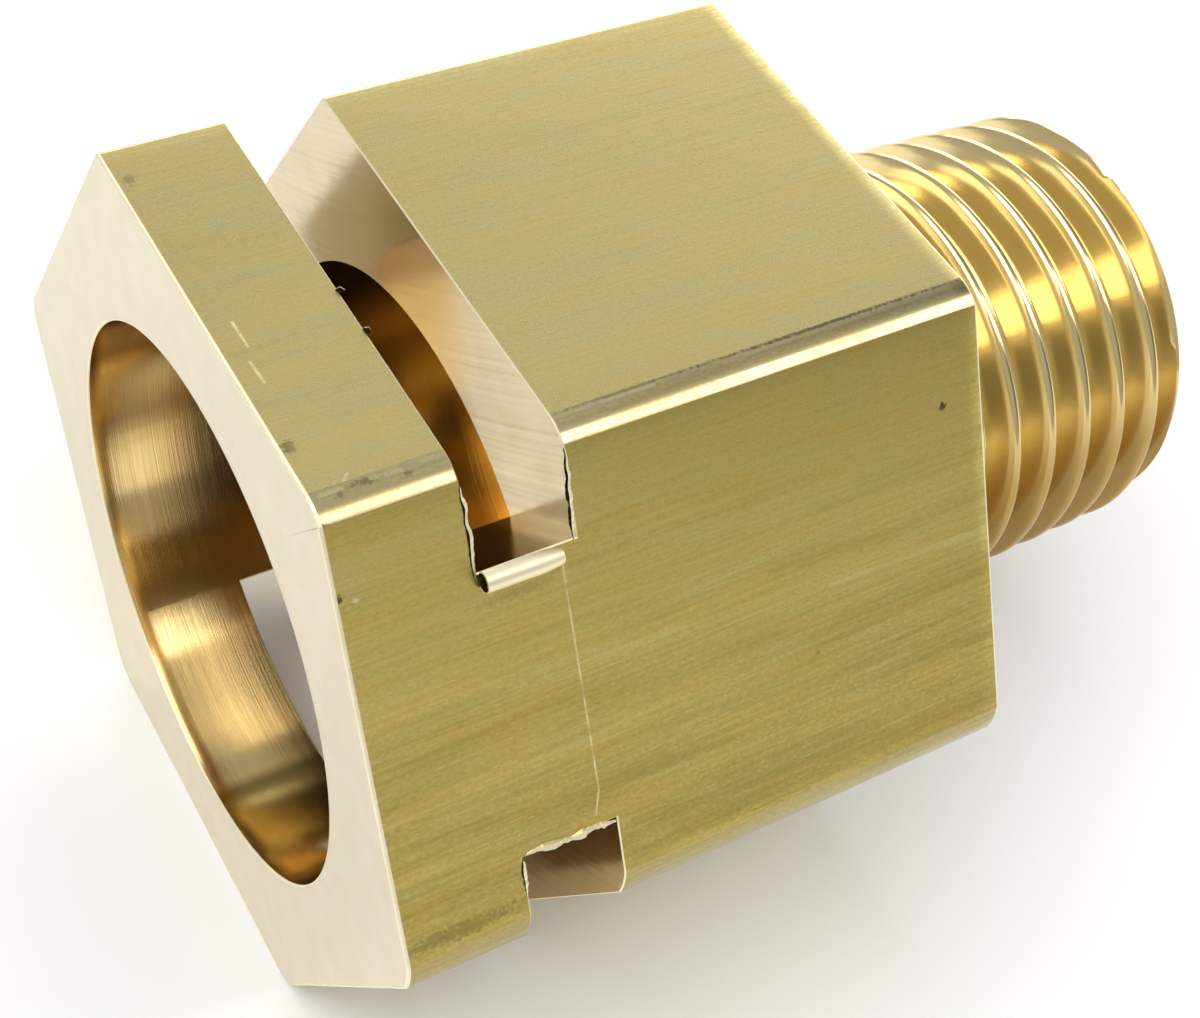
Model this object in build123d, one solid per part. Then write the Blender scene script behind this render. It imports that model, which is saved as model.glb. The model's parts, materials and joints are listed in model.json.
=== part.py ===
from build123d import *
import os
from math import atan, cos, degrees, radians, tan

# Pressure sensor adapter: one piece of brass cut from drawn hexagonal bar, in millimetres.
# The origin is the centre of the socket's mouth. +X runs along the bore towards the thread and +Z is up.
# The bar lies on one of its flats, so one flat is on top and one is underneath.

# Hexagonal bar
width_across_flats = 21.0
corner_flat = 0.85  # width of the narrow flat along each corner
block_length = 17.6
edge_break = 0.1

# Clip slots, both at one place along the bar, plunged across two opposite corners by a slitting saw
flange_thickness = 3.3
slot_width = 2.6
saw_diameter = 120.0
saw_offset = 1.5  # how far the saw's centre sits off the axis, towards the far left flat
clip_gap = 5.0  # between the two slot floors, where each lies deepest
clip_shift = 0.2  # how far the pair sits off the axis, towards the lower slot
slot_turn = -30.0  # degrees about the bore that the upper slot leans from straight up

# Socket for the sensor's nose, and the passage behind it
socket_diameter = 15.4
socket_depth = 13.5
passage_diameter = 7.0

# Male taper pipe thread, nominal size 1/4
inch = 25.4
threads_per_inch = 19
gauge_diameter = 13.157
gauge_length = 6.0  # from the small end to the plane where the gauge diameter is measured
taper = 1 / 16  # on diameter
flank_angle = 55.0  # between the two flanks of the groove
depth_ratio = 0.64  # groove depth over pitch
root_flat_ratio = 1 / 6  # flat at the groove's root over pitch
thread_length = 11.3  # from the shoulder to the small end
thread_lead_in = 1.2  # from the small end out to where the groove's path begins
end_chamfer = 0.65
runout_margin = 0.35  # plain neck left on each side of the groove where it runs out
neck_clearance = 0.1  # how far the neck lies below the groove's root
cutter_margin = 0.1  # how far the groove's section stands out past the crest

# Worked-out sizes
corner_cut = corner_flat / 2 / cos(radians(30))
overall_length = block_length + thread_length
pitch = inch / threads_per_inch
groove_depth = depth_ratio * pitch
root_flat = root_flat_ratio * pitch
groove_mouth = root_flat + 2 * groove_depth * tan(radians(flank_angle / 2))
neck_length = groove_mouth + 2 * runout_margin
cone_angle = degrees(atan(taper / 2))
gauge_plane = overall_length - gauge_length

# Sections are drawn square to the bore: their x is the part's +Y and their y is the part's +Z
front = Plane(origin=(0, 0, 0), x_dir=(0, 1, 0), z_dir=(1, 0, 0))


def crest_radius(x):
    """Radius of the thread's crest at a place along the bore."""
    return gauge_diameter / 2 - (x - gauge_plane) * taper / 2


def hexagonal_bar():
    """The bar stock: a narrow flat along each corner, and a small break round both sawn ends."""
    hexagon = RegularPolygon(width_across_flats / 2, 6, major_radius=False)
    bar = extrude(front * chamfer(hexagon.vertices(), corner_cut), block_length)
    return chamfer(bar.faces().filter_by(Axis.X).edges(), edge_break)


def clip_slot(floor_height, offset, turn):
    """A slot as the saw leaves it: its floor is an arc, lowest at the given height above the axis."""
    saw = Pos(offset, floor_height + saw_diameter / 2) * Circle(saw_diameter / 2)
    return extrude(front.offset(flange_thickness) * Rot(0, 0, turn) * saw, slot_width)


def thread_blank():
    """The tapered shank before its groove is cut, with a plain neck behind and a chamfered end."""
    neck_end = block_length + neck_length
    neck_radius = crest_radius(neck_end) - groove_depth - neck_clearance
    chamfer_start = overall_length - end_chamfer
    profile = Polyline(
        (block_length, 0),
        (block_length, neck_radius),
        (neck_end, neck_radius),
        (neck_end, crest_radius(neck_end)),
        (chamfer_start, crest_radius(chamfer_start)),
        (overall_length, crest_radius(chamfer_start) - end_chamfer),
        (overall_length, 0),
        close=True,
    )
    return revolve(make_face(profile), Axis.X)


def thread_groove():
    """The helical groove, from outside the small end to the middle of the plain neck."""
    start = overall_length + thread_lead_in
    runout = block_length + neck_length / 2
    root = crest_radius(start) - groove_depth
    crest = crest_radius(start)
    mouth = crest + cutter_margin
    path = Helix(pitch, start - runout, root, cone_angle=cone_angle)
    section = Polyline(
        (root, 0, -root_flat / 2),
        (root, 0, root_flat / 2),
        (crest, 0, groove_mouth / 2),
        (mouth, 0, groove_mouth / 2),
        (mouth, 0, -groove_mouth / 2),
        (crest, 0, -groove_mouth / 2),
        close=True,
    )
    groove = sweep(make_face(section), path, is_frenet=True)
    return Plane(origin=(start, 0, 0), x_dir=(0, 1, 0), z_dir=(-1, 0, 0)) * groove


def adapter():
    """The whole adapter as one solid."""
    body = hexagonal_bar() + (thread_blank() - thread_groove())
    body -= clip_slot(clip_gap / 2 - clip_shift, saw_offset, slot_turn)
    body -= clip_slot(clip_gap / 2 + clip_shift, -saw_offset, slot_turn + 180)
    body -= extrude(front * Circle(socket_diameter / 2), socket_depth)
    body -= extrude(front * Circle(passage_diameter / 2), overall_length)
    return body


os.makedirs("parts", exist_ok=True)
export_step(adapter(), "parts/adapter_body.step")
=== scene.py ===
import json
import logging
import math
from dataclasses import dataclass
from enum import Enum
from typing import Iterable

import bmesh
import bpy
import numpy as np
from mathutils import Matrix, Vector, noise


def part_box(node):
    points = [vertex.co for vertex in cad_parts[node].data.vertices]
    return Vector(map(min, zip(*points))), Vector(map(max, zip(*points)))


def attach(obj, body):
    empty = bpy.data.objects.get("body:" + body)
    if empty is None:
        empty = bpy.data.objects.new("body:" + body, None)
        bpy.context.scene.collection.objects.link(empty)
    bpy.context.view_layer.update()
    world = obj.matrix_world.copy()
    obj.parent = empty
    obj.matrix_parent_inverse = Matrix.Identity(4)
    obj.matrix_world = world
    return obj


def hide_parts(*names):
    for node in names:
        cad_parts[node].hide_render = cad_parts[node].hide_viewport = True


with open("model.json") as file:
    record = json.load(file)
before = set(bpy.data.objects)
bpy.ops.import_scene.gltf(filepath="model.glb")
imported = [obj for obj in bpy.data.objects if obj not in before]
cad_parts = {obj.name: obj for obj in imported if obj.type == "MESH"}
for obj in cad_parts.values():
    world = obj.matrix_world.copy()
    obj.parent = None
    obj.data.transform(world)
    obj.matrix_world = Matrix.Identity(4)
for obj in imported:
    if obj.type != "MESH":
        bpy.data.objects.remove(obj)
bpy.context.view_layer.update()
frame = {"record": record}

NODE = "adapter_body"
BODY = "root"
MM = 0.001  # a millimetre in metres; the shapes below are worked out in millimetres

# Angles about the bore, in degrees from +Y towards +Z
FULL_TURN = 360.0
FLAT_TURN = 60.0  # from one flat of the bar to the next
SLOTTED_CORNER = 60.0
TOP_FLAT = 90.0
RIGHT_FLAT = 150.0
LOW_CORNER = 180.0
LEFT_FLAT = 330.0

MIDDLE = 0.5  # the middle of a cloudy value's range
PATTERN_STEP = (1.0, 1.7, 2.3)  # how far two patterns of ripples lie apart along each axis

Colour = tuple[float, float, float]
Point = tuple[float, float, float]

BORE: Point = (1.0, 0.0, 0.0)
FAR: Point = (0.0, 1.0, 0.0)
UP: Point = (0.0, 0.0, 1.0)
WHITE: Colour = (1.0, 1.0, 1.0)

log = logging.getLogger("adapter")


class Zone(Enum):
    """The skins of the adapter, by how each was made, and a near-black skin of painted shade. The value is
    the material's place on the mesh.
    """

    DRAWN = 0
    FACED = 1
    SAWN = 2
    BORED = 3
    THREADED = 4
    EDGE = 5
    CORNER = 6
    # painted shade: the near-black skin on the shaded sides of the burrs and inside the curl
    CREVICE = 7


@dataclass(frozen=True)
class Cloud:
    """A noise on the skin.

    It has the length of one cloud along each axis, in millimetres, the finer layers on it, and how much it
    counts among others.
    """

    size: Point
    detail: float = 2.0
    weight: float = 1.0


class Wire:
    """A shader socket that takes part in Python sums; each sum adds its Math node."""

    def __init__(self, board: "Board", socket: bpy.types.NodeSocket) -> None:
        """Holds a socket and the board that it is on."""
        self.board = board
        self.socket = socket

    def __add__(self, other: "Wire | float") -> "Wire":
        """self + other"""
        return self.board.math("ADD", self, other)

    def __radd__(self, other: float) -> "Wire":
        """other + self"""
        return self.board.math("ADD", other, self)

    def __sub__(self, other: "Wire | float") -> "Wire":
        """self - other"""
        return self.board.math("SUBTRACT", self, other)

    def __rsub__(self, other: float) -> "Wire":
        """other - self"""
        return self.board.math("SUBTRACT", other, self)

    def __mul__(self, other: "Wire | float") -> "Wire":
        """self * other"""
        return self.board.math("MULTIPLY", self, other)

    def __rmul__(self, other: float) -> "Wire":
        """other * self"""
        return self.board.math("MULTIPLY", other, self)


class Board:
    """The node tree of one material or world, with short ways to wire it."""

    MIX_INPUTS = (0, 6, 7)  # a colour Mix node's share and its two colours
    MIX_OUTPUT = 2

    def __init__(self, tree: bpy.types.NodeTree) -> None:
        """Starts from an emptied tree."""
        self.tree = tree
        self.tree.nodes.clear()

    def node(self, kind: str, settings: dict | None = None, inputs: dict | None = None) -> bpy.types.Node:
        """Adds any node.

        Args:
            kind: the node's type.
            settings: properties of the node, set first.
            inputs: values or links, by the input's name or number.

        Returns:
            The new node.
        """
        node = self.tree.nodes.new(kind)
        for name, value in (settings or {}).items():
            setattr(node, name, value)
        for key, value in (inputs or {}).items():
            self.feed(node.inputs[key], value)
        return node

    def feed(self, socket: bpy.types.NodeSocket, value: object) -> None:
        """Links a wire to an input, or sets the input's own value.

        Args:
            socket: the input.
            value: the wire, number, colour or vector for it.
        """
        if isinstance(value, Wire):
            self.tree.links.new(value.socket, socket)
        elif socket.type == "RGBA":
            socket.default_value = (*value, 1.0)
        else:
            socket.default_value = value

    def wire(self, node: bpy.types.Node, output: str | int = 0) -> Wire:
        """An output of a node as a wire."""
        return Wire(self, node.outputs[output])

    def math(self, operation: str, *values: Wire | float) -> Wire:
        """A sum of values through one Math node."""
        return self.wire(self.node("ShaderNodeMath", {"operation": operation}, dict(enumerate(values))))

    def clamp(self, value: Wire) -> Wire:
        """A value held between 0 and 1."""
        return self.wire(self.node("ShaderNodeClamp", None, {"Value": value}))

    def vector(self, operation: str, *values: Wire | Point, output: str = "Vector") -> Wire:
        """A sum of vectors through one Vector Math node."""
        node = self.node("ShaderNodeVectorMath", {"operation": operation}, dict(enumerate(values)))
        return self.wire(node, output)

    def mix(self, share: Wire | float, first: Wire | Colour, second: Wire | Colour) -> Wire:
        """A colour between two others."""
        inputs = dict(zip(self.MIX_INPUTS, (share, first, second)))
        return self.wire(self.node("ShaderNodeMix", {"data_type": "RGBA"}, inputs), self.MIX_OUTPUT)

    def ease(self, value: Wire, start: float, end: float, low: float = 0.0, high: float = 1.0) -> Wire:
        """A value eased from low to high as another goes from start to end, and held beyond them."""
        inputs = {"Value": value, "From Min": start, "From Max": end, "To Min": low, "To Max": high}
        return self.wire(self.node("ShaderNodeMapRange", {"interpolation_type": "SMOOTHSTEP"}, inputs))

    def place(self) -> Wire:
        """Where a point of the surface lies in the part's frame, in millimetres."""
        where = self.wire(self.node("ShaderNodeTexCoord"), "Object")
        return self.vector("MULTIPLY", where, (1 / MM,) * 3)

    def along(self, where: Wire, way: Point) -> Wire:
        """How far a place lies along a direction."""
        return self.vector("DOT_PRODUCT", where, way, output="Value")

    def noise(self, where: Wire, cloud: Cloud) -> Wire:
        """A cloudy value, from 0 to 1 about its middle.

        Args:
            where: the place on the surface, in millimetres.
            cloud: the clouds.

        Returns:
            The value.
        """
        scaled = self.vector("MULTIPLY", where, tuple(1 / length for length in cloud.size))
        inputs = {"Vector": scaled, "Scale": 1.0, "Detail": cloud.detail}
        return self.wire(self.node("ShaderNodeTexNoise", None, inputs))

    def rings(self, where: Wire, cloud: Cloud, centre: Point = (0.0, 0.0, 0.0)) -> Wire:
        """A cloudy value that is the same all round an axis along the bore.

        Args:
            where: the place on the surface, in millimetres.
            cloud: the clouds, by their size along X.
            centre: a point of the axis, with no X.

        Returns:
            The value.
        """
        flat = self.vector("MULTIPLY", where, (0.0, 1.0, 1.0))
        away = self.vector("DISTANCE", flat, centre, output="Value")
        return self.noise(self.wire(self.node("ShaderNodeCombineXYZ", None, {"X": away})), cloud)

    def layered(self, *layers: tuple[Wire, float]) -> Wire:
        """Cloudy values laid over each other, about their middle.

        Args:
            layers: each value with its weight.

        Returns:
            The value, held between 0 and 1.
        """
        value = MIDDLE - MIDDLE * sum(weight for _, weight in layers)
        for cloud, weight in layers:
            value = value + cloud * weight
        return self.clamp(value)


def on_flat(facing: float, apothem: float, x: float, along: float, lift: float = 0.0) -> Point:
    """A point on one of the bar's flats.

    Args:
        facing: which way the flat faces, in degrees about the bore.
        apothem: how far the flat lies from the axis.
        x: place along the bore.
        along: place across the flat from its middle, towards the next corner.
        lift: height above the flat.

    Returns:
        The point, in millimetres.
    """
    turn = math.radians(facing)
    reach = apothem + lift
    y = reach * math.cos(turn) - along * math.sin(turn)
    z = reach * math.sin(turn) + along * math.cos(turn)
    return (x, y, z)


def way_out(facing: float) -> Point:
    """The direction out from the bore's axis at an angle about it, in degrees."""
    return on_flat(facing, 1.0, 0.0, 0.0)


def spread(stops: Iterable[float], gap: float) -> np.ndarray:
    """Numbers that meet every stop and lie no further apart than a gap.

    Args:
        stops: the numbers to meet.
        gap: the widest step.

    Returns:
        The numbers, in order.
    """
    stops = sorted(stops)
    runs = []
    for low, high in zip(stops, stops[1:]):
        runs.append(np.linspace(low, high, max(1, math.ceil((high - low) / gap)), endpoint=False))
    return np.append(np.concatenate(runs), stops[-1])


def ripple(places: np.ndarray, size: float, seed: float) -> np.ndarray:
    """A smooth uneven value for each place, from about -1 to 1.

    Args:
        places: points, in millimetres.
        size: how long one wave is.
        seed: which pattern.

    Returns:
        One value a point.
    """
    shift = Vector([seed * step for step in PATTERN_STEP])
    return np.array([noise.noise(Vector(place) / size + shift) for place in places])


def rounded(steps: int) -> list[tuple[float, float]]:
    """The turn of a rounded edge.

    Args:
        steps: how many faces make the turn.

    Returns:
        How far each line lies back from the face and in from the wall, as shares of the edge's size.
    """
    turns = [math.pi / 2 * step / steps for step in range(steps + 1)]
    return [(1 - math.cos(turn), 1 - math.sin(turn)) for turn in turns]


def linked(name: str, data: bpy.types.ID) -> bpy.types.Object:
    """Puts a mesh, lamp or lens into the scene.

    Args:
        name: the object's name.
        data: what it shows.

    Returns:
        The object.
    """
    piece = bpy.data.objects.new(name, data)
    bpy.context.scene.collection.objects.link(piece)
    return piece


@dataclass(frozen=True)
class Spot:
    """A ragged soft-edged mark on the skin, in millimetres.

    It reaches its length each way along the bar, and its width each way across it.
    """

    centre: Point
    length: float
    width: float
    strength: float = 1.0
    core: float = 0.35
    ragged: float = 1.1
    rag: Cloud = Cloud((0.1, 0.1, 0.1))

    def mask(self, board: Board, where: Wire) -> Wire:
        """How much of the mark is at a place.

        Args:
            board: the material's board.
            where: the place on the surface, in millimetres.

        Returns:
            The share, from 0 to the mark's strength.
        """
        away = board.vector("SUBTRACT", where, self.centre)
        away = board.vector("MULTIPLY", away, (1 / self.length, 1 / self.width, 1 / self.width))
        rag = (board.noise(where, self.rag) - MIDDLE) * (2 * self.ragged)
        away = board.vector("LENGTH", away, output="Value") + rag
        return board.ease(away, 1.0, self.core, 0.0, self.strength)


@dataclass(frozen=True)
class Scratch:
    """A straight fine line on the skin, in millimetres, which fades and comes back on its way."""

    start: Point
    end: Point
    width: float
    strength: float = 1.0
    break_size: float = 0.3
    faint_below: float = 0.3
    whole_above: float = 0.55
    faintest: float = 0.25
    core: float = 0.3

    def mask(self, board: Board, where: Wire) -> Wire:
        """How much of the line is at a place.

        Args:
            board: the material's board.
            where: the place on the surface, in millimetres.

        Returns:
            The share, from 0 to the line's strength.
        """
        along = Vector(self.end) - Vector(self.start)
        from_start = board.vector("SUBTRACT", where, self.start)
        share = board.along(from_start, tuple(along / along.length_squared))
        inputs = {0: tuple(along), "Scale": board.clamp(share)}
        nearest = board.wire(board.node("ShaderNodeVectorMath", {"operation": "SCALE"}, inputs))
        away = board.vector("DISTANCE", from_start, nearest, output="Value")
        breaks = board.noise(where, Cloud((self.break_size,) * 3))
        whole = board.ease(breaks, self.faint_below, self.whole_above, self.faintest, 1.0)
        return board.ease(away, self.width, self.width * self.core, 0.0, self.strength) * whole


@dataclass(frozen=True)
class ShadeFilm:
    """Painted shade on one side of the part, which may deepen across that side."""

    facing: float
    starts: float
    full: float
    thin: Colour
    deep: Colour | None = None
    across: Point = UP
    thin_at: float = 9.0
    deep_at: float = 0.5

    def laid_on(self, board: Board, where: Wire, colour: Wire) -> Wire:
        """Lays the painted shade over a colour.

        Args:
            board: the material's board.
            where: the place on the surface, in millimetres.
            colour: the colour under the painted shade.

        Returns:
            The colour with the painted shade.
        """
        shade_film = self.thin
        if self.deep:
            depth = board.ease(board.along(where, self.across), self.thin_at, self.deep_at)
            shade_film = board.mix(depth, self.thin, self.deep)
        share = board.ease(board.along(where, way_out(self.facing)), self.starts, self.full)
        return board.mix(share, colour, board.vector("MULTIPLY", colour, shade_film))


class Sheets:
    """Rows of points that become patches of one mesh, welded where they meet."""

    WELD = 1e-4  # points closer than this, in millimetres, become one
    SHARP = math.radians(38)  # an edge that turns more than this stays sharp

    def __init__(self) -> None:
        """Starts with no patch."""
        self.points: list[np.ndarray] = []
        self.faces: list[np.ndarray] = []
        self.zones: list[np.ndarray] = []
        self.count = 0

    def add(
        self, rows: np.ndarray, zone: Zone, closed: bool = False, keep: np.ndarray | None = None,
    ) -> None:
        """Adds a patch of quads.

        Args:
            rows: points by row and column.
            zone: the finish of the patch.
            closed: whether the last column joins the first.
            keep: which quads to keep, by row and column; all of them if left out.
        """
        rows = np.asarray(rows, float)
        numbers = self.count + np.arange(rows.shape[0] * rows.shape[1]).reshape(rows.shape[:2])
        beside = np.roll(numbers, -1, axis=1)
        quads = np.stack([numbers[:-1], beside[:-1], beside[1:], numbers[1:]], axis=-1)
        if not closed:
            quads = quads[:, :-1]
        quads = quads.reshape(-1, 4) if keep is None else quads[keep]
        self.points.append(rows.reshape(-1, 3))
        self.faces.append(quads)
        self.zones.append(np.full(len(quads), zone.value))
        self.count += numbers.size

    def mesh(self, name: str) -> bpy.types.Mesh:
        """Welds the patches into one smooth-shaded mesh in metres.

        Args:
            name: the mesh's name.

        Returns:
            The mesh.
        """
        mesh = bpy.data.meshes.new(name)
        points = np.concatenate(self.points) * MM
        mesh.from_pydata(points.tolist(), [], np.concatenate(self.faces).tolist())
        mesh.polygons.foreach_set("material_index", np.concatenate(self.zones).astype(np.int32))
        work = bmesh.new()
        work.from_mesh(mesh)
        bmesh.ops.remove_doubles(work, verts=work.verts, dist=self.WELD * MM)
        bmesh.ops.dissolve_degenerate(work, edges=work.edges, dist=self.WELD * MM)
        bmesh.ops.recalc_face_normals(work, faces=work.faces)
        open_edges = sum(not edge.is_manifold for edge in work.edges)
        work.to_mesh(mesh)
        work.free()
        mesh.shade_smooth()
        mesh.set_sharp_from_angle(angle=self.SHARP)
        log.info("%s: %d faces, %d open edges", name, len(mesh.polygons), open_edges)
        return mesh


@dataclass
class Skin:
    """A wall that runs along the bore, as columns in section with the way out of the metal at each."""

    section: np.ndarray
    outward: np.ndarray

    def at(
        self, x: np.ndarray | float, inset: np.ndarray | float = 0.0, columns: slice = slice(None),
    ) -> np.ndarray:
        """Points of the wall at one place along the bore.

        Args:
            x: place along the bore, the same for all columns or one for each.
            inset: how deep in the metal the points lie.
            columns: which columns to give.

        Returns:
            One point a column.
        """
        section = self.section - np.multiply(self.outward.T, inset).T
        along = np.broadcast_to(x, len(section))
        return np.column_stack([along, section])[columns]


@dataclass(frozen=True)
class BarCorner:
    """One long corner of the bar: a narrow flat, a little bulged, between two tight edges."""

    width: float
    lean: float = 0.0
    bulge: float = 26.0
    edge_radius: float = 0.05
    edge_steps: int = 3
    flat_steps: int = 6

    def walk(self, facing: float) -> tuple[np.ndarray, np.ndarray]:
        """Goes across the corner, from the flat before it to the flat after it.

        Args:
            facing: which way the flat before it faces, in degrees about the bore.

        Returns:
            Places in section from the corner's start, and the way out of the metal at each.
        """
        turns, lengths = [facing], []
        edge_turn = (FLAT_TURN - self.bulge) / 2
        edge_length = self.edge_radius * math.radians(edge_turn)
        for turn, length, steps in (
            (edge_turn - self.lean, edge_length, self.edge_steps),
            (self.bulge, self.width, self.flat_steps),
            (edge_turn + self.lean, edge_length, self.edge_steps),
        ):
            for _ in range(steps):
                turns.append(turns[-1] + turn / steps)
                lengths.append(length / steps)
        turns = np.radians(turns)
        middles = (turns[:-1] + turns[1:]) / 2
        steps = np.column_stack([-np.sin(middles), np.cos(middles)]) * np.array(lengths)[:, None]
        path = np.vstack([(0, 0), np.cumsum(steps, axis=0)])
        return path, np.column_stack([np.cos(turns), np.sin(turns)])

    def legs(self) -> tuple[float, float]:
        """How much of the flats beside it the corner takes up.

        Returns:
            How far from the sharp corner the flat before it and the flat after it end.
        """
        turn = math.radians(FLAT_TURN)
        across, along = self.walk(0)[0][-1]
        after = -across / math.sin(turn)
        return along - after * math.cos(turn), after


@dataclass(frozen=True)
class SawCut:
    """A slot's floor as the saw left it, an arc in the bar's section.

    Heights go towards the slotted corner, and places across go towards the right flat.
    """

    deepest: float
    side: int
    saw_radius: float = 60.0
    saw_offset: float = -1.5
    rounds: int = 20

    def height(self, across: float) -> float:
        """Height of the floor at a place across the section."""
        rise = self.saw_radius - math.sqrt(self.saw_radius ** 2 - (across - self.saw_offset) ** 2)
        return self.side * (self.deepest + rise)

    def bore_angle(self, radius: float, way: int) -> float:
        """Where the floor meets a round hole about the bore's axis, found by closing in on it.

        Args:
            radius: the hole's radius.
            way: 1 towards the right flat, -1 towards the left one.

        Returns:
            The angle about the bore, in degrees.
        """
        height = self.side * self.deepest
        for _ in range(self.rounds):
            across = way * math.sqrt(radius ** 2 - height ** 2)
            height = self.height(across)
        return SLOTTED_CORNER + math.degrees(math.atan2(across, height))


@dataclass(frozen=True)
class Web:
    """One of the four places where metal is left beside the bore between the slots."""

    cut: SawCut
    facing: float
    way: int

    def stops(self, apothem: float, gap: float) -> tuple[float, float]:
        """Heights on the flat of the slot's floor and of the end of its broken edge."""
        floor = self.cut.height(self.way * apothem)
        return floor, floor - self.cut.side * gap

    def angles(self, radius: float, gap: float) -> tuple[float, float]:
        """Where the web starts in the bore.

        Args:
            radius: the bore's radius.
            gap: the width of the slot's broken edge.

        Returns:
            Angles about the bore of the slot's floor and of the end of its broken edge, in degrees.
        """
        floor = self.cut.bore_angle(radius, self.way)
        if self.way < 0 and self.cut.side < 0:
            floor += FULL_TURN
        return floor, floor + self.cut.side * self.way * math.degrees(gap / radius)


@dataclass
class HexOutline:
    """The bar's section: a hexagon with narrow flats on its corners, walked from +Y towards +Z.

    The walk starts near the middle of the left flat, so that neither slot's stretch wraps round its end.
    """

    across_flats: float
    corners: tuple[BarCorner, ...]
    cuts: tuple[SawCut, SawCut]
    slot_break: float
    column_gap: float = 0.44

    def __post_init__(self) -> None:
        """Walks round the section once."""
        points, normals, turned = [], [], []
        self.apothem = self.across_flats / 2
        upper, lower = self.cuts
        self.webs = [
            Web(upper, RIGHT_FLAT, 1),
            Web(lower, RIGHT_FLAT, 1),
            Web(upper, LEFT_FLAT, -1),
            Web(lower, LEFT_FLAT, -1),
        ]
        half = self.apothem * math.tan(math.radians(FLAT_TURN / 2))
        for number, corner in enumerate(self.corners):
            facing = LEFT_FLAT + FLAT_TURN * number
            ends = (self.corners[number - 1].legs()[1] - half, half - corner.legs()[0])
            stops = self.flat_stops(facing, ends)
            path, outward = corner.walk(facing)
            for along in stops:
                points.append(on_flat(facing, self.apothem, 0, along)[1:])
                normals.append(outward[0])
            points.extend(np.add(points[-1], path[1:-1]))
            normals.extend(outward[1:-1])
            turned += [False] * (len(stops) - 1) + [True] * (len(path) - 1)
        self.points = np.array(points)
        self.normals = np.array(normals)
        middle = on_flat(LEFT_FLAT, self.apothem, 0, 0)[1:]
        start = int(np.argmin(np.linalg.norm(self.points - middle, axis=1)))
        self.points = np.roll(self.points, -start, axis=0)
        self.normals = np.roll(self.normals, -start, axis=0)
        self.turned = np.roll(turned, -start)
        self.heights = self.points @ way_out(SLOTTED_CORNER)[1:]

    def flat_stops(self, facing: float, ends: tuple[float, float]) -> np.ndarray:
        """Places of the columns across one flat.

        Args:
            facing: which way the flat faces.
            ends: where its corners start.

        Returns:
            Places from the flat's middle, in order.
        """
        stops = list(ends)
        for web in self.webs:
            if web.facing == facing % FULL_TURN:
                stops += [-web.way * height for height in web.stops(self.apothem, self.slot_break)]
        return spread(stops, self.column_gap)

    def column(self, height: float, facing: float) -> int:
        """The column at a slot's height on one of the two flats that the slots break.

        Args:
            height: height towards the slotted corner.
            facing: the right flat or the left one.

        Returns:
            The column's number.
        """
        beside = self.points @ way_out(facing)[1:] > 0
        return int(np.argmin(np.where(beside, np.abs(self.heights - height), np.inf)))

    def web_columns(self, web: Web) -> tuple[int, int]:
        """The columns of a web's floor and of the end of its broken edge."""
        floor, edge = web.stops(self.apothem, self.slot_break)
        return self.column(floor, web.facing), self.column(edge, web.facing)

    def matched_angles(self, radius: float) -> np.ndarray:
        """Angles on a circle, one for each column, that meet the same slot floors.

        Args:
            radius: the circle's radius.

        Returns:
            Angles in degrees, rising from column to column.
        """
        walked = np.degrees(np.unwrap(np.arctan2(self.points[:, 1], self.points[:, 0])))
        pairs = []
        for web in self.webs:
            pairs += zip(walked[list(self.web_columns(web))], web.angles(radius, self.slot_break))
        turns = (-FULL_TURN, 0, FULL_TURN)
        pairs = [(seen + turn, true + turn) for turn in turns for seen, true in pairs]
        return np.interp(walked, *np.array(sorted(pairs)).T)


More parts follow.
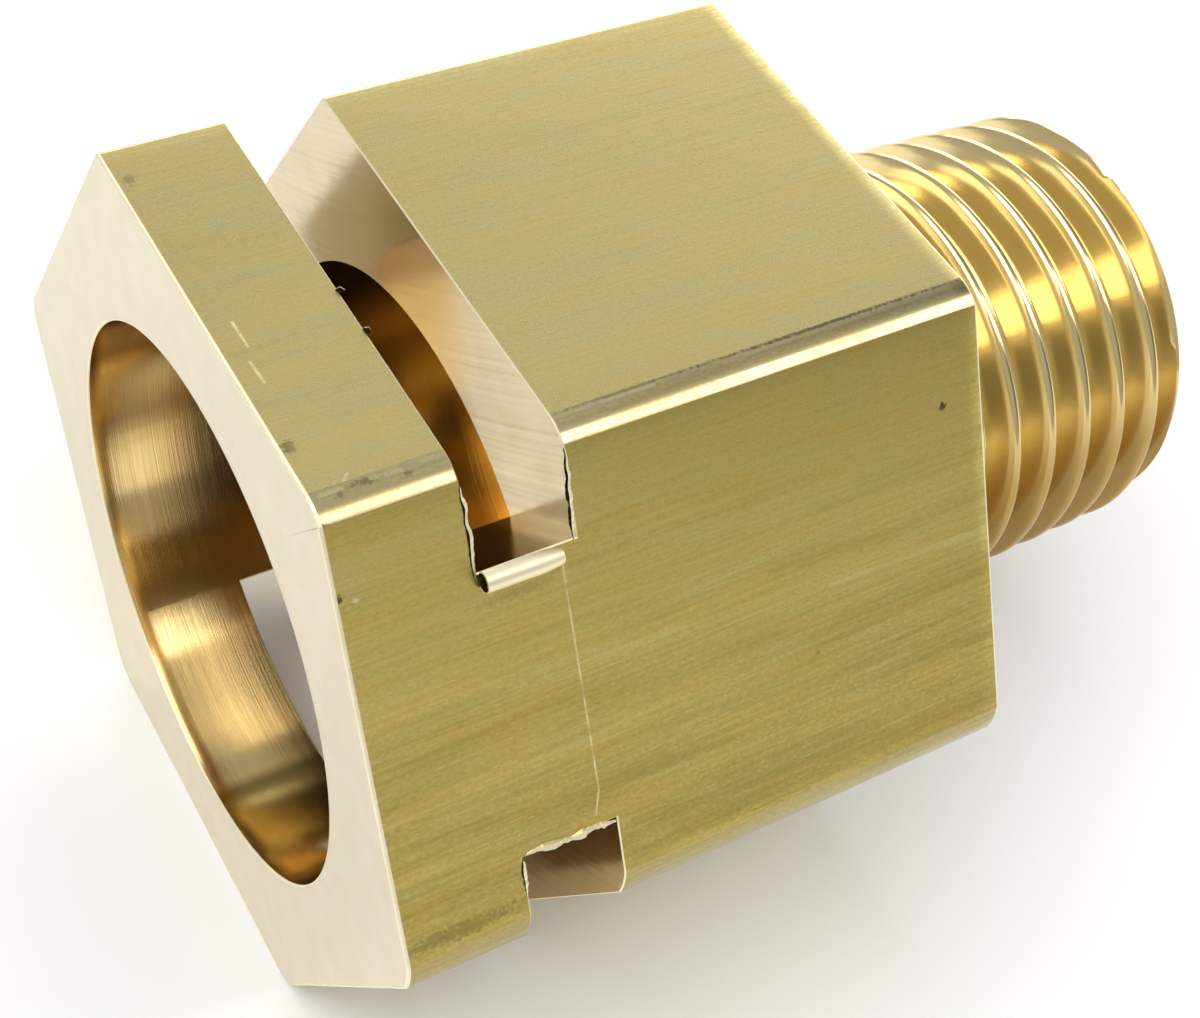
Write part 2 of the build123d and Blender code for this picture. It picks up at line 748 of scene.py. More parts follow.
@dataclass
class TaperThread:
    """The male taper pipe thread: its own screw surface, from the shoulder to the small end.

    Its form is given in shares of the pitch. The taper is on the radius.
    """

    shoulder: float
    end: float
    gauge_plane: float
    gauge_radius: float
    pitch: float = 25.4 / 19
    taper: float = 1 / 32
    half_angle: float = 27.5
    depth_share: float = 0.640327
    round_share: float = 0.137329
    root_share: float = 0.5
    end_chamfer: float = 0.65
    neck_length: float = 1.81
    neck_clearance: float = 0.1
    runout_share: float = 0.7
    runout_slope: float = 2.0
    crest_place: float = 24.65
    crest_angle: float = 150.0
    arc_rows: int = 4
    flank_rows: int = 4

    def crest(self, x: np.ndarray | float) -> np.ndarray | float:
        """Radius of the crests at a place along the bore."""
        return self.gauge_radius - (x - self.gauge_plane) * self.taper

    def neck_radius(self) -> float:
        """Radius of the plain neck behind the thread."""
        depth = self.depth_share * self.pitch + self.neck_clearance
        return self.crest(self.shoulder + self.neck_length) - depth

    def arc_reach(self) -> float:
        """How far from a crest or a root its rounding goes, as a share of the pitch."""
        return self.round_share * math.cos(math.radians(self.half_angle))

    def drop(self, away: np.ndarray) -> np.ndarray:
        """How deep the thread's form lies below its crest.

        Args:
            away: distance along the bore from the nearest crest, as a share of the pitch.

        Returns:
            The depth, as a share of the pitch.
        """
        reach = self.arc_reach()
        lean = math.radians(self.half_angle)
        to_root = self.root_share - away
        flank = self.round_share * (1 - math.sin(lean)) + (away - reach) / math.tan(lean)
        crest = self.round_share - np.sqrt(np.maximum(0, self.round_share ** 2 - away ** 2))
        root = np.sqrt(np.maximum(0, self.round_share ** 2 - to_root ** 2)) - self.round_share
        return np.where(away < reach, crest, np.where(to_root < reach, self.depth_share + root, flank))

    def radius(self, x: np.ndarray, angle: np.ndarray) -> np.ndarray:
        """Radius of the thread's surface.

        Args:
            x: places along the bore.
            angle: angles about it, in degrees.

        Returns:
            The radius at each.
        """
        turns = (x - self.crest_place) / self.pitch - (angle - self.crest_angle) / FULL_TURN
        threaded = self.crest(x) - self.pitch * self.drop(np.abs(turns - np.round(turns)))
        chamfer = self.crest(self.end - self.end_chamfer) - self.end_chamfer + (self.end - x)
        runout = np.maximum(0, x - self.shoulder - self.neck_length * self.runout_share)
        neck = self.neck_radius() + self.runout_slope * runout
        return np.minimum(threaded, np.minimum(chamfer, neck))

    def phases(self) -> np.ndarray:
        """Places of the rows between two crests, closest where the form is round.

        Returns:
            Shares of the pitch, from 0 up to but not with 1.
        """
        reach, root = self.arc_reach(), self.root_share
        half = np.concatenate([
            np.linspace(0, reach, self.arc_rows, endpoint=False),
            np.linspace(reach, root - reach, self.flank_rows, endpoint=False),
            np.linspace(root - reach, root, self.arc_rows, endpoint=False),
        ])
        return np.concatenate([half, [root], (1 - half[:0:-1])])

    def rows(self, angles: np.ndarray) -> np.ndarray:
        """Rows that follow the screw, cut off square at both ends.

        Args:
            angles: the columns' angles, in degrees.

        Returns:
            Points by row and column, with the first column repeated a turn later.
        """
        angles = np.append(angles, angles[0] + FULL_TURN)
        first = math.floor((self.shoulder - self.crest_place) / self.pitch) - 1
        last = math.ceil((self.end - self.crest_place) / self.pitch) + 1
        turns = np.add.outer(np.arange(first, last), self.phases()).ravel()
        x = self.crest_place + self.pitch * np.add.outer(turns, (angles - self.crest_angle) / FULL_TURN)
        x = np.clip(x, self.shoulder, self.end)
        radius = self.radius(x, np.broadcast_to(angles, x.shape))
        turn = np.radians(angles)
        return np.stack([x, radius * np.cos(turn), radius * np.sin(turn)], axis=-1)


@dataclass
class AdapterBody:
    """The adapter itself: one piece of brass, with its sizes in millimetres."""

    length: float
    across_flats: float
    socket_radius: float
    socket_depth: float
    gauge_plane: float
    gauge_radius: float
    block_length: float = 17.6
    slot_start: float = 3.3
    slot_end: float = 5.9
    upper_cut: SawCut = SawCut(deepest=2.3, side=1)
    lower_cut: SawCut = SawCut(deepest=2.7, side=-1)
    plain_corner: BarCorner = BarCorner(width=0.85)
    top_corner: BarCorner = BarCorner(width=0.14)
    near_corner: BarCorner = BarCorner(width=0.8, lean=10.0, bulge=40.0)
    low_corner: BarCorner = BarCorner(width=0.95)
    passage_radius: float = 3.5
    slot_break: float = 0.035
    front_break: float = 0.06
    front_reach: float = 1.6
    front_swing: float = 0.5
    front_wave: float = 0.7
    front_seed: float = 4.0
    rear_break: float = 0.08
    socket_break: float = 0.05
    passage_break: float = 0.25
    edge_steps: int = 3
    row_gap: float = 0.42
    wall_rows: int = 9
    flat_weight: int = 70

    def __post_init__(self) -> None:
        """Works out the skins that the patches hang on."""
        plain = self.plain_corner
        corners = (plain, self.top_corner, self.near_corner, self.low_corner, plain, plain)
        cuts = (self.upper_cut, self.lower_cut)
        self.outline = HexOutline(self.across_flats, corners, cuts, self.slot_break)
        self.bar = Skin(self.outline.points, self.outline.normals)
        self.angles = self.outline.matched_angles(self.socket_radius)
        self.socket = self.round_wall(self.socket_radius)
        self.passage = self.round_wall(self.passage_radius)
        self.thread = TaperThread(self.block_length, self.length, self.gauge_plane, self.gauge_radius)
        self.sheets = Sheets()

    def round_wall(self, radius: float) -> Skin:
        """A wall of a round hole about the bore's axis, with its columns matched to the bar's."""
        around = np.column_stack([np.cos(np.radians(self.angles)), np.sin(np.radians(self.angles))])
        return Skin(radius * around, -around)

    def windows(self) -> list[tuple[int, int, int, int]]:
        """Both slots' columns.

        Returns:
            For each slot: its first and last columns at the floor, and the columns just outside them where
            the broken edge ends.
        """
        near_upper, near_lower, far_upper, far_lower = map(self.outline.web_columns, self.outline.webs)
        return [
            (far_upper[0], near_upper[0], far_upper[1], near_upper[1]),
            (near_lower[0], far_lower[0], near_lower[1], far_lower[1]),
        ]

    def slot_rows(self) -> np.ndarray:
        """Places of the rows across the slots, from wall to wall."""
        return spread((self.slot_start, self.slot_end), self.row_gap)

    def build(self) -> bpy.types.Object:
        """Makes the whole skin and links it as one object.

        Returns:
            The object.
        """
        self.front()
        turned = self.outline.turned
        everywhere = np.ones(len(turned), bool)
        start = self.front_break * self.front_reach
        rear = self.block_length - self.rear_break
        self.long_wall(self.bar, start, rear, Zone.DRAWN, ~turned)
        self.long_wall(self.bar, start, rear, Zone.CORNER, turned)
        self.long_wall(self.socket, self.socket_break, self.socket_depth, Zone.BORED, everywhere)
        for skin in (self.bar, self.socket):
            self.slot_edges(skin)
        self.slot_faces()
        self.inside()
        self.rear()
        body = linked("adapter", self.sheets.mesh(NODE))
        even = body.modifiers.new("even_flats", "WEIGHTED_NORMAL")
        even.keep_sharp = True
        even.weight = self.flat_weight
        return body

    def front(self) -> None:
        """The faced front ring, with its worn outer edge and its socket's mouth."""
        uneven = ripple(self.bar.at(0), self.front_wave, self.front_seed)
        wear = self.front_break * (1 + self.front_swing * uneven)
        turn = rounded(self.edge_steps)
        outer = [self.bar.at(back * wear, inset * wear) for back, inset in turn]
        outer.append(self.bar.at(self.front_break * self.front_reach))
        self.sheets.add(outer, Zone.EDGE, closed=True)
        inner = [self.socket.at(back * self.socket_break, inset * self.socket_break) for back, inset in turn]
        self.sheets.add(inner, Zone.EDGE, closed=True)
        self.sheets.add(self.ruled(inner[0], outer[0]), Zone.FACED, closed=True)

    def ruled(self, first: np.ndarray, last: np.ndarray) -> np.ndarray:
        """Rows in even steps from one line of points to another."""
        shares = np.linspace(0, 1, self.wall_rows + 1)[:, None, None]
        return first + shares * (last - first)

    def long_wall(self, skin: Skin, start: float, end: float, zone: Zone, chosen: np.ndarray) -> None:
        """A wall along the bore with both slots' windows left out.

        Args:
            skin: the wall.
            start: where it starts.
            end: where it ends.
            zone: its finish.
            chosen: whether each stretch between two columns has this finish.
        """
        gap = self.slot_break
        stops = (start, self.slot_start - gap, self.slot_start, self.slot_end, self.slot_end + gap, end)
        places = spread(stops, self.row_gap)
        keep = np.tile(chosen, (len(places) - 1, 1))
        middles = (places[:-1] + places[1:]) / 2
        across = (middles > self.slot_start - gap) & (middles < self.slot_end + gap)
        for _, _, first, last in self.windows():
            keep[np.ix_(across, range(first, last))] = False
        self.sheets.add([skin.at(x) for x in places], zone, closed=True, keep=keep)

    def slot_edges(self, skin: Skin) -> None:
        """The broken edges round both slots' windows in one wall.

        Args:
            skin: the wall.
        """
        gap = self.slot_break
        for first, last, first_edge, last_edge in self.windows():
            columns = slice(first, last + 1)
            for x, way in ((self.slot_start, -1), (self.slot_end, 1)):
                rim = skin.at(x + way * gap, 0, columns)
                self.sheets.add([rim, skin.at(x, gap, columns)], Zone.EDGE)
            for inner, outer in ((first, first_edge), (last, last_edge)):
                low = [skin.at(x)[outer] for x in self.slot_rows()]
                deep = [skin.at(x, gap)[inner] for x in self.slot_rows()]
                self.sheets.add([low, deep], Zone.EDGE)
                for x, way in ((self.slot_start, -1), (self.slot_end, 1)):
                    corner = skin.at(x + way * gap)[outer]
                    seat = skin.at(x, gap)[inner]
                    for beside in (skin.at(x + way * gap)[inner], skin.at(x)[outer]):
                        self.sheets.add([[corner, beside], [seat, seat]], Zone.EDGE)

    def slot_faces(self) -> None:
        """The sawn walls and floors of both slots."""
        gap = self.slot_break
        for first, last, _, _ in self.windows():
            columns = slice(first, last + 1)
            for x in (self.slot_start, self.slot_end):
                wall = self.ruled(self.socket.at(x, gap, columns), self.bar.at(x, gap, columns))
                self.sheets.add(wall, Zone.SAWN)
            for column in (first, last):
                inner = np.array([self.socket.at(x, gap)[column] for x in self.slot_rows()])
                outer = np.array([self.bar.at(x, gap)[column] for x in self.slot_rows()])
                self.sheets.add(self.ruled(inner, outer), Zone.SAWN)

    def inside(self) -> None:
        """The socket's bottom and the passage behind it, with its mouth broken at both ends."""
        size = self.passage_break
        mouth = self.passage.at(self.socket_depth, size)
        self.sheets.add(self.ruled(self.socket.at(self.socket_depth), mouth), Zone.BORED, closed=True)
        places = spread((self.socket_depth + size, self.length - size), self.row_gap)
        rows = [mouth, *[self.passage.at(x) for x in places]]
        self.sheets.add([*rows, self.passage.at(self.length, size)], Zone.BORED, closed=True)

    def rear(self) -> None:
        """The shoulder with its broken edge, the thread and the thread's small end."""
        size = self.rear_break
        turn = rounded(self.edge_steps)
        edge = [self.bar.at(self.block_length - back * size, inset * size) for back, inset in turn]
        self.sheets.add(edge, Zone.EDGE, closed=True)
        neck = self.round_wall(self.thread.neck_radius()).at(self.block_length)
        self.sheets.add(self.ruled(neck, edge[0]), Zone.FACED, closed=True)
        self.sheets.add(self.thread.rows(self.angles), Zone.THREADED)
        around = -self.passage.outward
        end_radius = self.thread.radius(np.full(len(self.angles), self.length), self.angles)
        rim = Skin(around * end_radius[:, None], around).at(self.length)
        end = self.ruled(self.passage.at(self.length, self.passage_break), rim)
        self.sheets.add(end, Zone.FACED, closed=True)


@dataclass(frozen=True)
class Lip:
    """A ragged ridge of torn metal along an edge, in millimetres: painted shade on its left, bright on its
    right.

    Its tears are broad waves with finer ones on them, and it sways to both sides of the edge.
    """

    name: str
    start: Point
    end: Point
    outward: Point
    width: float = 0.14
    rise: float = 0.05
    sink: float = 0.04
    wave: float = 0.2
    seed: float = 1.0
    stations: int = 72
    bluntness: float = 0.4
    fine_tear: float = 0.6
    fine_waves: float = 3.0
    sway: float = 0.5
    sway_waves: float = 2.0
    width_swing: float = 0.5
    rise_swing: float = 0.9
    lowest: float = 0.15
    highest: float = 2.0
    crest_at: float = 0.55
    brow_at: float = 0.6
    brow_rise: float = 0.7

    def build(self) -> bpy.types.Object:
        """Makes the ridge.

        Returns:
            The ridge's object.
        """
        start, end, outward = (np.array(place) for place in (self.start, self.end, self.outward))
        across = np.cross(outward, end - start)
        across = across / np.linalg.norm(across)
        shares = np.linspace(0, 1, self.stations)
        middles = start + np.outer(shares, end - start)
        size = np.sin(np.pi * shares) ** self.bluntness
        fine = ripple(middles, self.wave / self.fine_waves, self.seed + 1)
        tear = ripple(middles, self.wave, self.seed) + self.fine_tear * fine
        sway = ripple(middles, self.sway_waves * self.wave, self.seed + 2)
        middles = middles + np.outer(self.sway * self.width * sway, across)
        half = np.outer(size * self.width / 2 * (1 + self.width_swing * tear), across)
        foot = -np.outer(size * self.sink, outward)
        torn = np.clip(1 + self.rise_swing * tear, self.lowest, self.highest)
        peak = np.outer(size * self.rise * torn, outward)
        left, right = middles - half + foot, middles + half + foot
        crest = middles - self.crest_at * half + peak
        brow = middles + self.brow_at * half + self.brow_rise * peak
        sheets = Sheets()
        # painted shade: the ridge's left side and its hidden base take the near-black skin
        sheets.add([left, crest], Zone.CREVICE)
        sheets.add([crest, brow, right], Zone.EDGE)
        sheets.add([right, left], Zone.CREVICE)
        return linked(self.name, sheets.mesh(self.name))


@dataclass(frozen=True)
class Curl:
    """A shaving that is still on the slot's edge and has rolled up, in millimetres."""

    name: str
    start: Point
    end: Point
    outward: Point
    radius: float = 0.28
    sheet: float = 0.035
    turns: float = 1.3
    tighten: float = 0.1
    bow: float = 0.03
    bow_wave: float = 0.5
    bow_seed: float = 6.0
    pinch: float = 0.25
    pinch_power: int = 8
    stations: int = 40
    columns: int = 72

    def build(self) -> bpy.types.Object:
        """Makes the rolled shaving, pinched at its far end, with painted shade on its inside.

        Returns:
            The shaving's object.
        """
        start, end, outward = (np.array(place) for place in (self.start, self.end, self.outward))
        along = (end - start) / np.linalg.norm(end - start)
        up = np.cross(outward, along)
        shares = np.linspace(0, 1, self.stations)
        middles = start + np.outer(shares, end - start)
        bowed = 1 + self.bow * ripple(middles, self.bow_wave, self.bow_seed)
        reach = self.radius * bowed * (1 - self.pinch * shares ** self.pinch_power)
        turn = np.linspace(0, 2 * np.pi * self.turns, self.columns)
        spiral = 1 - self.tighten * turn / (2 * np.pi)
        ways = np.outer(np.cos(turn), up) + np.outer(np.sin(turn), outward)
        outer = middles[:, None] + (reach[:, None] * spiral)[..., None] * ways
        inner = middles[:, None] + (reach[:, None] * spiral - self.sheet)[..., None] * ways
        sheets = Sheets()
        sheets.add(outer, Zone.EDGE)
        # painted shade: the inside of the roll takes the near-black skin
        sheets.add(inner, Zone.CREVICE)
        for edge in (0, -1):
            sheets.add([outer[edge], inner[edge]], Zone.EDGE)
            sheets.add([outer[:, edge], inner[:, edge]], Zone.EDGE)
        return linked(self.name, sheets.mesh(self.name))


@dataclass(frozen=True)
class Finish:
    """What every brass finish shares: two tones, a roughness that wanders, a fine relief and films of
    painted shade.
    """

    name: str
    light: Colour
    dark: Colour
    roughness: float
    rough_swing: float = 0.06
    relief: float = 0.004
    shade_films: tuple[ShadeFilm, ...] = ()
    shading: Cloud = Cloud((1.0, 1.0, 1.0))
    grain: Cloud = Cloud((0.1, 0.1, 0.1))

    def tone(self, board: Board, where: Wire) -> Wire:
        """How light the surface is at a place, from 0 to 1."""
        return board.noise(where, self.shading)

    def height(self, board: Board, where: Wire) -> Wire:
        """How high the fine relief stands at a place, from 0 to 1."""
        return board.noise(where, self.grain)

    def marked(self, board: Board, where: Wire, colour: Wire) -> Wire:
        """Lays this finish's painted shade films and marks over its clean colour.

        Args:
            board: the material's board.
            where: the place on the surface, in millimetres.
            colour: the clean colour.

        Returns:
            The marked colour.
        """
        # painted shade films, each darkening one side or part of the surface
        for shade_film in self.shade_films:
            colour = shade_film.laid_on(board, where, colour)
        return colour

    def material(self) -> bpy.types.Material:
        """Makes the material.

        Returns:
            The material, with all its nodes.
        """
        material = bpy.data.materials.new(self.name)
        material.use_nodes = True
        board = Board(material.node_tree)
        where = board.place()
        tone = self.tone(board, where)
        colour = self.marked(board, where, board.mix(tone, self.dark, self.light))
        rough = self.roughness + (MIDDLE - tone) * (2 * self.rough_swing)
        inputs = {"Strength": 1.0, "Distance": self.relief * MM, "Height": self.height(board, where)}
        bump = board.wire(board.node("ShaderNodeBump", None, inputs))
        inputs = {"Base Color": colour, "Metallic": 1.0, "Roughness": rough, "Normal": bump}
        shader = board.node("ShaderNodeBsdfPrincipled", None, inputs)
        board.node("ShaderNodeOutputMaterial", None, {"Surface": board.wire(shader)})
        return material


@dataclass(frozen=True)
class DrawnSkin(Finish):
    """Flats as they left the drawing die: streaked along the bar, a little warmer or cooler, marked, and
    with painted shade, a painted shadow and painted highlights.
    """

    broad_streak: Cloud = Cloud((14.0, 0.8, 0.8), 3.0, 1.7)
    fine_streak: Cloud = Cloud((3.0, 0.1, 0.1), 2.0, 1.5)
    speckle: Cloud = Cloud((0.13, 0.08, 0.08), 1.0, 1.2)
    draw_line: Cloud = Cloud((5.0, 0.09, 0.09), 1.0)
    warm: Colour = (1.035, 0.98, 0.88)
    cool: Colour = (0.965, 1.0, 0.98)
    warmth: Cloud = Cloud((2.5, 0.6, 0.6), 3.0)
    cool_below: float = 0.3
    warm_above: float = 0.7
    # stains, with a painted shadow among them
    stains_and_shadow: tuple[Spot, ...] = ()
    stain_and_shadow_colour: Colour = (0.05, 0.045, 0.02)
    # scratches, with painted highlights among them
    scratches_and_highlights: tuple[Scratch, ...] = ()
    scratch_and_highlight_colour: Colour = (1.0, 0.9, 0.5)

    def tone(self, board: Board, where: Wire) -> Wire:
        """Broad streaks, fine streaks and speckle together."""
        clouds = (self.broad_streak, self.fine_streak, self.speckle)
        return board.layered(*[(board.noise(where, cloud), cloud.weight) for cloud in clouds])

    def height(self, board: Board, where: Wire) -> Wire:
        """Fine draw lines."""
        return board.noise(where, self.draw_line)

    def marked(self, board: Board, where: Wire, colour: Wire) -> Wire:
        """The colour with its tint, painted shade films, stains with a painted shadow, and scratches with
        painted highlights.

        Args:
            board: the material's board.
            where: the place on the surface, in millimetres.
            colour: the clean colour.

        Returns:
            The marked colour.
        """
        warmth = board.ease(board.noise(where, self.warmth), self.cool_below, self.warm_above)
        tint = board.mix(warmth, self.cool, self.warm)
        colour = super().marked(board, where, board.vector("MULTIPLY", colour, tint))
        # stains and a painted shadow
        for dark_mark in self.stains_and_shadow:
            colour = board.mix(dark_mark.mask(board, where), colour, self.stain_and_shadow_colour)
        # scratches and painted highlights
        for bright_line in self.scratches_and_highlights:
            colour = board.mix(bright_line.mask(board, where), colour, self.scratch_and_highlight_colour)
        return colour


@dataclass(frozen=True)
class FacedEnd(Finish):
    """Ends faced on a lathe: fine rings about the bore."""

    ring: Cloud = Cloud((0.07, 1.0, 1.0))

    def height(self, board: Board, where: Wire) -> Wire:
        """Rings about the bore."""
        return board.rings(where, self.ring)


@dataclass(frozen=True)
class SawnWall(Finish):
    """Slot faces left by a slitting saw: faint arcs about the saw's centre, and painted shade on the
    flange's side.
    """

    saw_centre: Point = (0.0, 32.4, 53.2)
    arc: Cloud = Cloud((0.16, 1.0, 1.0), weight=1.8)
    haze: Cloud = Cloud((0.9, 0.9, 0.9), weight=0.9)
    groove: Cloud = Cloud((0.14, 1.0, 1.0))
    # painted shade on the flange's side of the slot: its tint, where it ends along the bore, and its fade
    flange_side_shade: Colour = (0.5, 0.47, 0.34)
    shade_until: float = 5.6
    shade_fade: float = 0.5

    def tone(self, board: Board, where: Wire) -> Wire:
        """Arcs of the saw with haze between them."""
        arcs = board.rings(where, self.arc, self.saw_centre)
        return board.layered((arcs, self.arc.weight), (board.noise(where, self.haze), self.haze.weight))

    def height(self, board: Board, where: Wire) -> Wire:
        """Arcs about the saw's centre."""
        return board.rings(where, self.groove, self.saw_centre)

    def marked(self, board: Board, where: Wire, colour: Wire) -> Wire:
        """The colour with its painted shade on the flange's side and its painted shade films.

        Args:
            board: the material's board.
            where: the place on the surface, in millimetres.
            colour: the clean colour.

        Returns:
            The marked colour.
        """
        # painted shade: darker towards the flange's side of the slot
        share = board.ease(board.along(where, BORE), self.shade_until, self.shade_until - self.shade_fade)
        shaded_colour = board.mix(share, colour, board.vector("MULTIPLY", colour, self.flange_side_shade))
        return super().marked(board, where, shaded_colour)


@dataclass(frozen=True)
class BoredWall(Finish):
    """Walls bored on a lathe: fine rings that follow each other along the bore."""

    band: Cloud = Cloud((0.22, 6.0, 6.0))
    feed: Cloud = Cloud((0.08, 9.0, 9.0))

    def tone(self, board: Board, where: Wire) -> Wire:
        """Rings along the bore, with slow clouds."""
        return board.noise(where, self.band)

    def height(self, board: Board, where: Wire) -> Wire:
        """Feed lines of the tool."""
        return board.noise(where, self.feed)


def heading(azimuth: float, elevation: float) -> Vector:
    """The direction at an azimuth from +X towards +Y and an elevation above the floor, in degrees."""
    turn, rise = math.radians(azimuth), math.radians(elevation)
    return Vector((math.cos(turn) * math.cos(rise), math.sin(turn) * math.cos(rise), math.sin(rise)))


@dataclass(frozen=True)
class Softbox:
    """A soft lamp that faces the part, placed by its direction from the part's middle.

    Its sizes are in metres and its angles in degrees. Its long side lies along the bore as nearly as its
    facing lets it.
    """

    name: str
    azimuth: float
    elevation: float
    distance: float
    length: float
    width: float
    radiance: float

    def hang(self, middle: Vector) -> bpy.types.Object:
        """Makes the lamp.

        Args:
            middle: the point that it faces.

        Returns:
            The lamp's object.
        """
        way = heading(self.azimuth, self.elevation)
        light = bpy.data.lights.new(self.name, "AREA")
        light.shape = "RECTANGLE"
        light.size = self.length
        light.size_y = self.width
        light.energy = self.radiance * math.pi * self.length * self.width
        bore = Vector(BORE)
        along = (bore - way * bore.dot(way)).normalized()
        turned = Matrix((along, way.cross(along), way)).transposed().to_4x4()
        lamp = linked(self.name, light)
        lamp.matrix_world = Matrix.Translation(middle + way * self.distance) @ turned
        lamp.visible_camera = False
        return lamp


@dataclass(frozen=True)
class PhotoCamera:
    """The camera at the photo's viewing angle, in metres; its lens is given in the photo's pixels."""

    stand: Point = (-0.012918, -0.030399, 0.043765)
    ahead: Point = (0.4193, 0.5002, -0.7577)
    upright: Point = (0.3074, 0.7071, 0.6369)
    image: tuple[float, float] = (1200.0, 1018.0)
    focal: float = 2065.9
    axis_at: tuple[float, float] = (599.4, 514.7)
    shade_film: float = 36.0

    def set_up(self) -> bpy.types.Object:
        """Makes the camera and takes it into use.

        Returns:
            The camera's object.
        """
        width, height = self.image
        lens = bpy.data.cameras.new("photo_camera")
        lens.sensor_width = self.shade_film
        lens.lens = self.focal / width * self.shade_film
        lens.shift_x = (width / 2 - self.axis_at[0]) / width
        lens.shift_y = (self.axis_at[1] - height / 2) / width
        lens.clip_start = MM
        back = -Vector(self.ahead).normalized()
        side = Vector(self.upright).cross(back).normalized()
        turn = Matrix((side, back.cross(side), back)).transposed().to_4x4()
        camera = linked("photo_camera", lens)
        camera.matrix_world = Matrix.Translation(self.stand) @ turn
        bpy.context.scene.camera = camera
        return camera


@dataclass(frozen=True)
class DimPatch:
    """A stretch of the surroundings that is darker than the rest, given in degrees."""

    azimuth: float
    elevation: float
    reach: float
    core: float = 1 / 3

    def share(self, board: Board, seen: Wire) -> Wire:
        """How much of the patch lies in a direction.

        Args:
            board: the world's board.
            seen: the direction.

        Returns:
            The share, from 0 to 1.
        """
        towards = board.along(seen, tuple(heading(self.azimuth, self.elevation)))
        edge, core = (math.cos(math.radians(reach)) for reach in (self.reach, self.reach * self.core))
        return board.ease(towards, edge, core)


@dataclass
class Studio:
    """The pale floor and the soft light round the part, in metres."""

    ground: float
    middle: Point = (0.013, 0.0, 0.0)
    floor_size: float = 3.0
    floor_colour: Colour = (0.9, 0.9, 0.9)
    floor_shade: float = 0.985
    floor_cloud: Cloud = Cloud((40.0, 40.0, 40.0))
    sky: float = 0.44
    dim_sky: float = 0.18
    dim_patches: tuple[DimPatch, ...] = (
        DimPatch(azimuth=-46, elevation=18, reach=28),
        DimPatch(azimuth=10, elevation=40, reach=22),
    )
    lamps: tuple[Softbox, ...] = (
        Softbox("rear_softbox", 52, 17, distance=0.45, length=0.6, width=0.25, radiance=2.2),
        Softbox("side_softbox", -33, 44, distance=0.45, length=0.5, width=0.16, radiance=2.3),
        Softbox("key_softbox", 175, 68, distance=0.7, length=0.7, width=0.7, radiance=2.6),
    )

    def floor(self) -> bpy.types.Object:
        """Lays the floor under the part.

        Returns:
            The floor's object.
        """
        half = self.floor_size / 2
        mesh = bpy.data.meshes.new("floor")
        corners = [(x * half, y * half, self.ground) for x, y in ((-1, -1), (1, -1), (1, 1), (-1, 1))]
        mesh.from_pydata(corners, [], [range(len(corners))])
        material = bpy.data.materials.new("pale_floor")
        material.use_nodes = True
        board = Board(material.node_tree)
        cloud = board.noise(board.place(), self.floor_cloud)
        dark = tuple(self.floor_shade * part for part in self.floor_colour)
        shade = board.mix(cloud, dark, self.floor_colour)
        inputs = {"Base Color": shade, "Roughness": 1.0, "Specular IOR Level": 0.0}
        shader = board.node("ShaderNodeBsdfPrincipled", None, inputs)
        board.node("ShaderNodeOutputMaterial", None, {"Surface": board.wire(shader)})
        mesh.materials.append(material)
        floor = linked("floor", mesh)
        return floor

    def light(self) -> None:
        """Sets the even surrounding light, with its dim patches, and hangs the lamps."""
        world = bpy.data.worlds.new("studio")
        world.use_nodes = True
        board = Board(world.node_tree)
        seen = board.wire(board.node("ShaderNodeTexCoord"), "Generated")
        share = board.math("MAXIMUM", *[patch.share(board, seen) for patch in self.dim_patches])
        plain, dim = (
            board.wire(board.node("ShaderNodeBackground", None, {"Color": WHITE, "Strength": level}))
            for level in (self.sky, self.dim_sky)
        )
        sky = board.node("ShaderNodeMixShader", None, {0: share, 1: plain, 2: dim})
        board.node("ShaderNodeOutputWorld", None, {"Surface": board.wire(sky)})
        bpy.context.scene.world = world
        for lamp in self.lamps:
            lamp.hang(Vector(self.middle))


